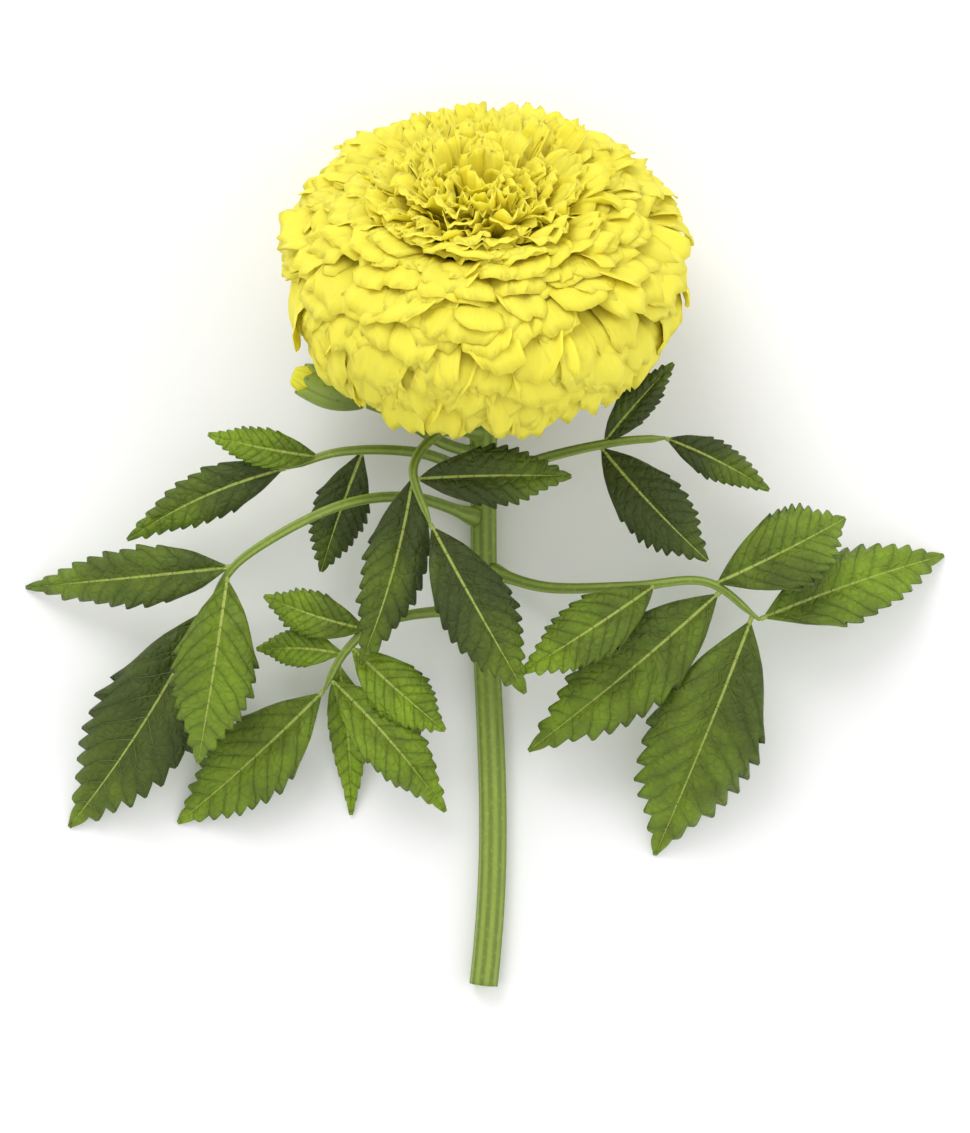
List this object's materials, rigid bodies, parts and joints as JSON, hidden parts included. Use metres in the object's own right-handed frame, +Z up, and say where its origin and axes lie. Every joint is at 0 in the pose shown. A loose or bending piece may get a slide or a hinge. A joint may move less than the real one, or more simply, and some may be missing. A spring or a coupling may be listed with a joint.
{
  "type": "african marigold flower",
  "caption": "Picked African marigold: a large lemon-yellow double bloom with green cup, cut stem, toothed pinnate leaves and side bud, lying on a surface.",
  "frame": {"origin": "on the resting surface, under the middle of the whole flower's bounding box", "axes": "+Z up from the surface, +Y from the cut end of the stem towards the bloom, +X to the right when the bloom is seen from above with the stem towards the viewer"},
  "size_m": [0.2294, 0.2158, 0.0862],
  "materials": {
    "ray_floret": "matte",
    "leaf_blade": "satin",
    "green_stem": "satin",
    "bract_cup": "satin",
    "receptacle_flesh": "matte"
  },
  "bodies": {
    "root": {"bud_cup": "bract_cup", "bud_petals": "ray_floret", "bud_stalk": "green_stem", "floret_whorl_01": "ray_floret", "floret_whorl_02": "ray_floret", "floret_whorl_03": "ray_floret", "floret_whorl_04": "ray_floret", "floret_whorl_05": "ray_floret", "floret_whorl_06": "ray_floret", "floret_whorl_07": "ray_floret", "floret_whorl_08": "ray_floret", "floret_whorl_09": "ray_floret", "floret_whorl_10": "ray_floret", "involucre": "bract_cup", "leaf_centre_left": "leaf_blade", "leaf_centre_right": "leaf_blade", "leaf_centre_stalk": "green_stem", "leaf_centre_terminal": "leaf_blade", "leaf_left_inner": "leaf_blade", "leaf_left_outer": "leaf_blade", "leaf_left_stalk": "green_stem", "leaf_left_terminal": "leaf_blade", "leaf_lower_left_inner": "leaf_blade", "leaf_lower_left_lower": "leaf_blade", "leaf_lower_left_outer": "leaf_blade", "leaf_lower_left_stalk": "green_stem", "leaf_lower_left_terminal": "leaf_blade", "leaf_lower_left_upper_inner": "leaf_blade", "leaf_lower_left_upper_outer": "leaf_blade", "leaf_right_inner": "leaf_blade", "leaf_right_lower_inner": "leaf_blade", "leaf_right_lower_outer": "leaf_blade", "leaf_right_stalk": "green_stem", "leaf_right_terminal": "leaf_blade", "leaf_right_upper_outer": "leaf_blade", "leaf_upper_left_lower": "leaf_blade", "leaf_upper_left_stalk": "green_stem", "leaf_upper_left_terminal": "leaf_blade", "leaf_upper_left_upper": "leaf_blade", "leaf_upper_right_lower": "leaf_blade", "leaf_upper_right_stalk": "green_stem", "leaf_upper_right_terminal": "leaf_blade", "leaf_upper_right_upper": "leaf_blade", "receptacle": "receptacle_flesh", "stem": "green_stem"}
  },
  "joints": []
}
